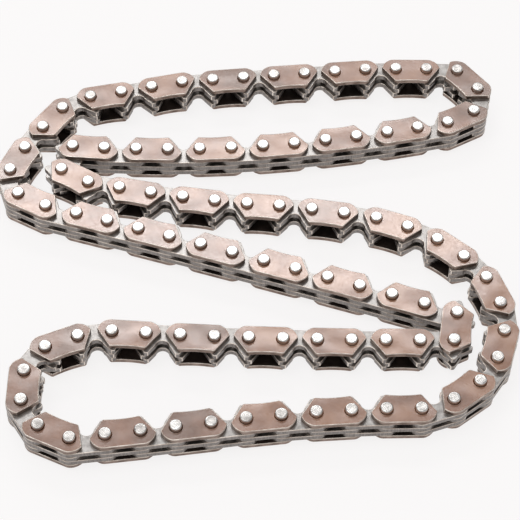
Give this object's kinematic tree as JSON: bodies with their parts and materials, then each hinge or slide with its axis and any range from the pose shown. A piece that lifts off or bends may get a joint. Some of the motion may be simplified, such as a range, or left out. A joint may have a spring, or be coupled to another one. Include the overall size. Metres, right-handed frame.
{
  "type": "silent chain",
  "caption": "Endless inverted-tooth drive chain of laced link plates on riveted pins, lying on its side in a double fold; it carries drive between toothed sprockets.",
  "frame": {"origin": "middle of the pins' box in plan, on the surface that the lower pin ends stand on", "axes": "+Z along the pins, up from that surface; +X along the folded rows, the longest way; +Y across the rows"},
  "size_m": [0.101, 0.0967, 0.0073],
  "materials": {
    "link_steel": "satin, bronze-brown temper tint",
    "tooth_steel": "satin grey steel"
  },
  "bodies": {
    "link_pair_01": {"link_pair_01": "link_steel"},
    "link_pair_02": {"link_pair_02": "link_steel"},
    "link_pair_03": {"link_pair_03": "link_steel"},
    "link_pair_04": {"link_pair_04": "link_steel"},
    "link_pair_05": {"link_pair_05": "link_steel"},
    "link_pair_06": {"link_pair_06": "link_steel"},
    "guide_link_07": {"guide_link_07": "link_steel"},
    "inner_link_07": {"inner_link_07": "tooth_steel"},
    "guide_link_08": {"guide_link_08": "link_steel"},
    "inner_link_08": {"inner_link_08": "tooth_steel"},
    "link_pair_09": {"link_pair_09": "link_steel"},
    "link_pair_10": {"link_pair_10": "link_steel"},
    "link_pair_11": {"link_pair_11": "link_steel"},
    "link_pair_12": {"link_pair_12": "link_steel"},
    "link_pair_13": {"link_pair_13": "link_steel"},
    "guide_link_14": {"guide_link_14": "link_steel"},
    "inner_link_14": {"inner_link_14": "tooth_steel"},
    "guide_link_15": {"guide_link_15": "link_steel"},
    "inner_link_15": {"inner_link_15": "tooth_steel"},
    "link_pair_16": {"link_pair_16": "link_steel"},
    "link_pair_17": {"link_pair_17": "link_steel"},
    "link_pair_18": {"link_pair_18": "link_steel"},
    "link_pair_19": {"link_pair_19": "link_steel"},
    "link_pair_20": {"link_pair_20": "link_steel"},
    "link_pair_21": {"link_pair_21": "link_steel"},
    "guide_link_22": {"guide_link_22": "link_steel"},
    "inner_link_22": {"inner_link_22": "tooth_steel"},
    "guide_link_23": {"guide_link_23": "link_steel"},
    "inner_link_23": {"inner_link_23": "tooth_steel"},
    "guide_link_24": {"guide_link_24": "link_steel"},
    "inner_link_24": {"inner_link_24": "tooth_steel"},
    "link_pair_25": {"link_pair_25": "link_steel"},
    "link_pair_26": {"link_pair_26": "link_steel"},
    "link_pair_27": {"link_pair_27": "link_steel"},
    "link_pair_28": {"link_pair_28": "link_steel"},
    "link_pair_29": {"link_pair_29": "link_steel"},
    "guide_link_30": {"guide_link_30": "link_steel"},
    "inner_link_30": {"inner_link_30": "tooth_steel"},
    "guide_link_31": {"guide_link_31": "link_steel"},
    "inner_link_31": {"inner_link_31": "tooth_steel"},
    "link_pair_32": {"link_pair_32": "link_steel"},
    "link_pair_33": {"link_pair_33": "link_steel"},
    "link_pair_34": {"link_pair_34": "link_steel"},
    "link_pair_35": {"link_pair_35": "link_steel"},
    "link_pair_36": {"link_pair_36": "link_steel"},
    "link_pair_37": {"link_pair_37": "link_steel"},
    "guide_link_38": {"guide_link_38": "link_steel"},
    "inner_link_38": {"inner_link_38": "tooth_steel"},
    "link_pair_39": {"link_pair_39": "link_steel"},
    "link_pair_40": {"link_pair_40": "link_steel"},
    "link_pair_41": {"link_pair_41": "link_steel"},
    "link_pair_42": {"link_pair_42": "link_steel"},
    "link_pair_43": {"link_pair_43": "link_steel"},
    "link_pair_44": {"link_pair_44": "link_steel"},
    "guide_link_45": {"guide_link_45": "link_steel"},
    "inner_link_45": {"inner_link_45": "tooth_steel"},
    "guide_link_46": {"guide_link_46": "link_steel"},
    "inner_link_46": {"inner_link_46": "tooth_steel"},
    "guide_link_47": {"guide_link_47": "link_steel"},
    "inner_link_47": {"inner_link_47": "tooth_steel"}
  },
  "joints": [
    {"name": "pin_55_hinge", "type": "hinge", "parent": "link_pair_27", "child": "link_pair_28", "pos_m": [-0.00642, -0.04179, 0.00363], "axis": [0, 0, -1], "range_deg": [0, 7.49]},
    {"name": "pin_57_hinge", "type": "hinge", "parent": "link_pair_28", "child": "link_pair_29", "pos_m": [-0.01898, -0.04369, 0.00363], "axis": [0, 0, -1], "range_deg": [0, 7.88]},
    {"name": "pin_59_hinge", "type": "hinge", "parent": "link_pair_29", "child": "guide_link_30", "pos_m": [-0.03155, -0.04549, 0.00363], "axis": [0, 0, 1], "range_deg": [0, 23]},
    {"name": "pin_60_hinge", "type": "hinge", "parent": "guide_link_30", "child": "inner_link_30", "pos_m": [-0.03735, -0.0429, 0.00363], "axis": [0, 0, 1], "range_deg": [0, 21.54]},
    {"name": "pin_61_hinge", "type": "hinge", "parent": "inner_link_30", "child": "guide_link_31", "pos_m": [-0.04081, -0.03758, 0.00363], "axis": [0, 0, 1], "range_deg": [0, 16.68]},
    {"name": "pin_62_hinge", "type": "hinge", "parent": "guide_link_31", "child": "inner_link_31", "pos_m": [-0.04081, -0.03123, 0.00363], "axis": [0, 0, 1], "range_deg": [0, 10.68]},
    {"name": "pin_63_hinge", "type": "hinge", "parent": "inner_link_31", "child": "link_pair_32", "pos_m": [-0.03735, -0.0259, 0.00363], "axis": [0, 0, 1], "range_deg": [0, 6.86]},
    {"name": "pin_65_hinge", "type": "hinge", "parent": "link_pair_32", "child": "link_pair_33", "pos_m": [-0.02531, -0.02216, 0.00363], "axis": [0, 0, -1], "range_deg": [0, 7.35]},
    {"name": "pin_67_hinge", "type": "hinge", "parent": "link_pair_33", "child": "link_pair_34", "pos_m": [-0.01262, -0.02277, 0.00363], "axis": [0, 0, -1], "range_deg": [0, 11.88]},
    {"name": "pin_69_hinge", "type": "hinge", "parent": "link_pair_34", "child": "link_pair_35", "pos_m": [0.00007, -0.02316, 0.00363], "axis": [0, 0, -1], "range_deg": [0, 6.78]},
    {"name": "pin_71_hinge", "type": "hinge", "parent": "link_pair_35", "child": "link_pair_36", "pos_m": [0.01277, -0.02333, 0.00363], "axis": [0, 0, -1], "range_deg": [0, 4.21]},
    {"name": "pin_73_hinge", "type": "hinge", "parent": "link_pair_36", "child": "link_pair_37", "pos_m": [0.02547, -0.02327, 0.00363], "axis": [0, 0, -1], "range_deg": [0, 4.2]},
    {"name": "pin_75_hinge", "type": "hinge", "parent": "link_pair_37", "child": "guide_link_38", "pos_m": [0.03817, -0.02294, 0.00363], "axis": [0, 0, -1], "range_deg": [0, 68.65]},
    {"name": "pin_76_hinge", "type": "hinge", "parent": "guide_link_38", "child": "inner_link_38", "pos_m": [0.03905, -0.01665, 0.00363], "axis": [0, 0, -1], "range_deg": [0, 73.69]},
    {"name": "pin_77_hinge", "type": "hinge", "parent": "inner_link_38", "child": "link_pair_39", "pos_m": [0.03301, -0.01469, 0.00363], "axis": [0, 0, -1], "range_deg": [0, 4.2]},
    {"name": "pin_79_hinge", "type": "hinge", "parent": "link_pair_39", "child": "link_pair_40", "pos_m": [0.02091, -0.01082, 0.00363], "axis": [0, 0, -1], "range_deg": [0, 5.27]},
    {"name": "pin_81_hinge", "type": "hinge", "parent": "link_pair_40", "child": "link_pair_41", "pos_m": [0.0088, -0.00701, 0.00363], "axis": [0, 0, -1], "range_deg": [0, 9.01]},
    {"name": "pin_83_hinge", "type": "hinge", "parent": "link_pair_41", "child": "link_pair_42", "pos_m": [-0.00334, -0.00328, 0.00363], "axis": [0, 0, -1], "range_deg": [0, 11.32]},
    {"name": "pin_85_hinge", "type": "hinge", "parent": "link_pair_42", "child": "link_pair_43", "pos_m": [-0.0155, 0.00038, 0.00363], "axis": [0, 0, -1], "range_deg": [0, 13.35]},
    {"name": "pin_87_hinge", "type": "hinge", "parent": "link_pair_43", "child": "link_pair_44", "pos_m": [-0.02769, 0.00397, 0.00363], "axis": [0, 0, -1], "range_deg": [0, 18.16]},
    {"name": "pin_89_hinge", "type": "hinge", "parent": "link_pair_44", "child": "guide_link_45", "pos_m": [-0.03989, 0.00748, 0.00363], "axis": [0, 0, -1], "range_deg": [0, 4.2]},
    {"name": "pin_90_hinge", "type": "hinge", "parent": "guide_link_45", "child": "inner_link_45", "pos_m": [-0.0455, 0.01047, 0.00363], "axis": [0, 0, 1], "range_deg": [0, 38.7]},
    {"name": "pin_91_hinge", "type": "hinge", "parent": "inner_link_45", "child": "guide_link_46", "pos_m": [-0.04762, 0.01645, 0.00363], "axis": [0, 0, 1], "range_deg": [0, 47.38]},
    {"name": "pin_92_hinge", "type": "hinge", "parent": "guide_link_46", "child": "inner_link_46", "pos_m": [-0.04513, 0.0223, 0.00363], "axis": [0, 0, 1], "range_deg": [0, 15.75]},
    {"name": "pin_93_hinge", "type": "hinge", "parent": "inner_link_46", "child": "guide_link_47", "pos_m": [-0.04201, 0.02782, 0.00363], "axis": [0, 0, 1], "range_deg": [0, 16.91]},
    {"name": "pin_94_hinge", "type": "hinge", "parent": "guide_link_47", "child": "inner_link_47", "pos_m": [-0.03844, 0.03308, 0.00363], "axis": [0, 0, 1], "range_deg": [0, 40.56]},
    {"name": "pin_01_hinge", "type": "hinge", "parent": "inner_link_47", "child": "link_pair_01", "pos_m": [-0.03296, 0.03628, 0.00363], "axis": [0, 0, 1], "range_deg": [0, 30.24]},
    {"name": "pin_03_hinge", "type": "hinge", "parent": "link_pair_01", "child": "link_pair_02", "pos_m": [-0.0206, 0.03919, 0.00363], "axis": [0, 0, 1], "range_deg": [0, 4.45]},
    {"name": "pin_05_hinge", "type": "hinge", "parent": "link_pair_02", "child": "link_pair_03", "pos_m": [-0.00813, 0.0415, 0.00363], "axis": [0, 0, -1], "range_deg": [0, 4.21]},
    {"name": "unfold", "type": "hinge", "parent": "link_pair_27", "child": "link_pair_26", "pos_m": [0.00614, -0.03995, 0.00363], "axis": [0, 0, 1], "range_deg": [0, 7.9]},
    {"name": "pin_51_hinge", "type": "hinge", "parent": "link_pair_26", "child": "link_pair_25", "pos_m": [0.01878, -0.03874, 0.00363], "axis": [0, 0, 1], "range_deg": [0, 4.57]},
    {"name": "pin_49_hinge", "type": "hinge", "parent": "link_pair_25", "child": "inner_link_24", "pos_m": [0.03147, -0.03814, 0.00363], "axis": [0, 0, -1], "range_deg": [0, 20.67]},
    {"name": "pin_48_hinge", "type": "hinge", "parent": "inner_link_24", "child": "guide_link_24", "pos_m": [0.03743, -0.03595, 0.00363], "axis": [0, 0, -1], "range_deg": [0, 22.61]},
    {"name": "pin_47_hinge", "type": "hinge", "parent": "guide_link_24", "child": "inner_link_23", "pos_m": [0.04241, -0.03202, 0.00363], "axis": [0, 0, -1], "range_deg": [0, 23.88]},
    {"name": "pin_46_hinge", "type": "hinge", "parent": "inner_link_23", "child": "guide_link_23", "pos_m": [0.04593, -0.02673, 0.00363], "axis": [0, 0, -1], "range_deg": [0, 25.23]},
    {"name": "pin_45_hinge", "type": "hinge", "parent": "guide_link_23", "child": "inner_link_22", "pos_m": [0.04762, -0.0206, 0.00363], "axis": [0, 0, -1], "range_deg": [0, 26.81]},
    {"name": "pin_44_hinge", "type": "hinge", "parent": "inner_link_22", "child": "guide_link_22", "pos_m": [0.04731, -0.01426, 0.00363], "axis": [0, 0, -1], "range_deg": [0, 28.1]},
    {"name": "pin_43_hinge", "type": "hinge", "parent": "guide_link_22", "child": "link_pair_21", "pos_m": [0.04505, -0.00833, 0.00363], "axis": [0, 0, -1], "range_deg": [0, 27.18]},
    {"name": "pin_41_hinge", "type": "hinge", "parent": "link_pair_21", "child": "link_pair_20", "pos_m": [0.03616, 0.00065, 0.00363], "axis": [0, 0, -1], "range_deg": [0, 6.3]},
    {"name": "pin_39_hinge", "type": "hinge", "parent": "link_pair_20", "child": "link_pair_19", "pos_m": [0.02455, 0.00569, 0.00363], "axis": [0, 0, 1], "range_deg": [0, 6.5]},
    {"name": "pin_37_hinge", "type": "hinge", "parent": "link_pair_19", "child": "link_pair_18", "pos_m": [0.01201, 0.00768, 0.00363], "axis": [0, 0, 1], "range_deg": [0, 13.3]},
    {"name": "pin_35_hinge", "type": "hinge", "parent": "link_pair_18", "child": "link_pair_17", "pos_m": [-0.00064, 0.00879, 0.00363], "axis": [0, 0, 1], "range_deg": [0, 13.32]},
    {"name": "pin_33_hinge", "type": "hinge", "parent": "link_pair_17", "child": "link_pair_16", "pos_m": [-0.01326, 0.0102, 0.00363], "axis": [0, 0, 1], "range_deg": [0, 10.92]},
    {"name": "pin_31_hinge", "type": "hinge", "parent": "link_pair_16", "child": "inner_link_15", "pos_m": [-0.02578, 0.01232, 0.00363], "axis": [0, 0, 1], "range_deg": [0, 10.06]},
    {"name": "pin_30_hinge", "type": "hinge", "parent": "inner_link_15", "child": "guide_link_15", "pos_m": [-0.032, 0.01364, 0.00363], "axis": [0, 0, 1], "range_deg": [0, 26.36]},
    {"name": "pin_29_hinge", "type": "hinge", "parent": "guide_link_15", "child": "inner_link_14", "pos_m": [-0.0375, 0.01682, 0.00363], "axis": [0, 0, 1], "range_deg": [0, 68.61]},
    {"name": "pin_28_hinge", "type": "hinge", "parent": "inner_link_14", "child": "guide_link_14", "pos_m": [-0.03569, 0.0229, 0.00363], "axis": [0, 0, 1], "range_deg": [0, 63.95]},
    {"name": "pin_27_hinge", "type": "hinge", "parent": "guide_link_14", "child": "link_pair_13", "pos_m": [-0.02935, 0.02257, 0.00363], "axis": [0, 0, -1], "range_deg": [0, 9.24]},
    {"name": "pin_25_hinge", "type": "hinge", "parent": "link_pair_13", "child": "link_pair_12", "pos_m": [-0.01665, 0.02248, 0.00363], "axis": [0, 0, -1], "range_deg": [0, 4.2]},
    {"name": "pin_23_hinge", "type": "hinge", "parent": "link_pair_12", "child": "link_pair_11", "pos_m": [-0.00397, 0.02314, 0.00363], "axis": [0, 0, 1], "range_deg": [0, 4.4]},
    {"name": "pin_21_hinge", "type": "hinge", "parent": "link_pair_11", "child": "link_pair_10", "pos_m": [0.00865, 0.02456, 0.00363], "axis": [0, 0, 1], "range_deg": [0, 7.81]},
    {"name": "pin_19_hinge", "type": "hinge", "parent": "link_pair_10", "child": "link_pair_09", "pos_m": [0.02117, 0.02669, 0.00363], "axis": [0, 0, 1], "range_deg": [0, 10.72]},
    {"name": "pin_17_hinge", "type": "hinge", "parent": "link_pair_09", "child": "inner_link_08", "pos_m": [0.03358, 0.02935, 0.00363], "axis": [0, 0, 1], "range_deg": [0, 12.12]},
    {"name": "pin_16_hinge", "type": "hinge", "parent": "inner_link_08", "child": "guide_link_08", "pos_m": [0.03975, 0.03089, 0.00363], "axis": [0, 0, 1], "range_deg": [0, 4.2]},
    {"name": "pin_15_hinge", "type": "hinge", "parent": "guide_link_08", "child": "inner_link_07", "pos_m": [0.04524, 0.03407, 0.00363], "axis": [0, 0, -1], "range_deg": [0, 28.47]},
    {"name": "pin_14_hinge", "type": "hinge", "parent": "inner_link_07", "child": "guide_link_07", "pos_m": [0.04642, 0.04031, 0.00363], "axis": [0, 0, -1], "range_deg": [0, 26.52]},
    {"name": "pin_13_hinge", "type": "hinge", "parent": "guide_link_07", "child": "link_pair_06", "pos_m": [0.04245, 0.04526, 0.00363], "axis": [0, 0, -1], "range_deg": [0, 30.19]},
    {"name": "pin_11_hinge", "type": "hinge", "parent": "link_pair_06", "child": "link_pair_05", "pos_m": [0.02976, 0.04541, 0.00363], "axis": [0, 0, 1], "range_deg": [0, 10.54]},
    {"name": "pin_09_hinge", "type": "hinge", "parent": "link_pair_05", "child": "link_pair_04", "pos_m": [0.0171, 0.04438, 0.00363], "axis": [0, 0, 1], "range_deg": [0, 9.41]}
  ],
  "couplings": [
    {"joint": "pin_55_hinge", "follows": "unfold", "ratio": 0.94761},
    {"joint": "pin_57_hinge", "follows": "unfold", "ratio": 0.99669},
    {"joint": "pin_59_hinge", "follows": "unfold", "ratio": 2.9112},
    {"joint": "pin_60_hinge", "follows": "unfold", "ratio": 2.7266},
    {"joint": "pin_61_hinge", "follows": "unfold", "ratio": 2.1107},
    {"joint": "pin_62_hinge", "follows": "unfold", "ratio": 1.3516},
    {"joint": "pin_63_hinge", "follows": "unfold", "ratio": 0.86718},
    {"joint": "pin_65_hinge", "follows": "unfold", "ratio": 0.93015},
    {"joint": "pin_67_hinge", "follows": "unfold", "ratio": 1.5031},
    {"joint": "pin_69_hinge", "follows": "unfold", "ratio": 0.85798},
    {"joint": "pin_71_hinge", "follows": "unfold", "ratio": 0.53254},
    {"joint": "pin_73_hinge", "follows": "unfold", "ratio": 0.53057},
    {"joint": "pin_75_hinge", "follows": "unfold", "ratio": 8.6891},
    {"joint": "pin_76_hinge", "follows": "unfold", "ratio": 9.3276},
    {"joint": "pin_77_hinge", "follows": "unfold", "ratio": 0.53081},
    {"joint": "pin_79_hinge", "follows": "unfold", "ratio": 0.66673},
    {"joint": "pin_81_hinge", "follows": "unfold", "ratio": 1.1403},
    {"joint": "pin_83_hinge", "follows": "unfold", "ratio": 1.4324},
    {"joint": "pin_85_hinge", "follows": "unfold", "ratio": 1.689},
    {"joint": "pin_87_hinge", "follows": "unfold", "ratio": 2.2982},
    {"joint": "pin_89_hinge", "follows": "unfold", "ratio": 0.53047},
    {"joint": "pin_90_hinge", "follows": "unfold", "ratio": 4.8976},
    {"joint": "pin_91_hinge", "follows": "unfold", "ratio": 5.9971},
    {"joint": "pin_92_hinge", "follows": "unfold", "ratio": 1.9933},
    {"joint": "pin_93_hinge", "follows": "unfold", "ratio": 2.1404},
    {"joint": "pin_94_hinge", "follows": "unfold", "ratio": 5.1334},
    {"joint": "pin_01_hinge", "follows": "unfold", "ratio": 3.8276},
    {"joint": "pin_03_hinge", "follows": "unfold", "ratio": 0.56264},
    {"joint": "pin_05_hinge", "follows": "unfold", "ratio": 0.53244},
    {"joint": "pin_51_hinge", "follows": "unfold", "ratio": 0.57781},
    {"joint": "pin_49_hinge", "follows": "unfold", "ratio": 2.6164},
    {"joint": "pin_48_hinge", "follows": "unfold", "ratio": 2.8608},
    {"joint": "pin_47_hinge", "follows": "unfold", "ratio": 3.0223},
    {"joint": "pin_46_hinge", "follows": "unfold", "ratio": 3.1924},
    {"joint": "pin_45_hinge", "follows": "unfold", "ratio": 3.3927},
    {"joint": "pin_44_hinge", "follows": "unfold", "ratio": 3.556},
    {"joint": "pin_43_hinge", "follows": "unfold", "ratio": 3.4401},
    {"joint": "pin_41_hinge", "follows": "unfold", "ratio": 0.79626},
    {"joint": "pin_39_hinge", "follows": "unfold", "ratio": 0.8219},
    {"joint": "pin_37_hinge", "follows": "unfold", "ratio": 1.6831},
    {"joint": "pin_35_hinge", "follows": "unfold", "ratio": 1.685},
    {"joint": "pin_33_hinge", "follows": "unfold", "ratio": 1.3823},
    {"joint": "pin_31_hinge", "follows": "unfold", "ratio": 1.2722},
    {"joint": "pin_30_hinge", "follows": "unfold", "ratio": 3.3357},
    {"joint": "pin_29_hinge", "follows": "unfold", "ratio": 8.6844},
    {"joint": "pin_28_hinge", "follows": "unfold", "ratio": 8.0938},
    {"joint": "pin_27_hinge", "follows": "unfold", "ratio": 1.1696},
    {"joint": "pin_25_hinge", "follows": "unfold", "ratio": 0.53063},
    {"joint": "pin_23_hinge", "follows": "unfold", "ratio": 0.55643},
    {"joint": "pin_21_hinge", "follows": "unfold", "ratio": 0.98832},
    {"joint": "pin_19_hinge", "follows": "unfold", "ratio": 1.356},
    {"joint": "pin_17_hinge", "follows": "unfold", "ratio": 1.5339},
    {"joint": "pin_16_hinge", "follows": "unfold", "ratio": 0.53063},
    {"joint": "pin_15_hinge", "follows": "unfold", "ratio": 3.6033},
    {"joint": "pin_14_hinge", "follows": "unfold", "ratio": 3.3564},
    {"joint": "pin_13_hinge", "follows": "unfold", "ratio": 3.8205},
    {"joint": "pin_11_hinge", "follows": "unfold", "ratio": 1.3335},
    {"joint": "pin_09_hinge", "follows": "unfold", "ratio": 1.1905}
  ]
}
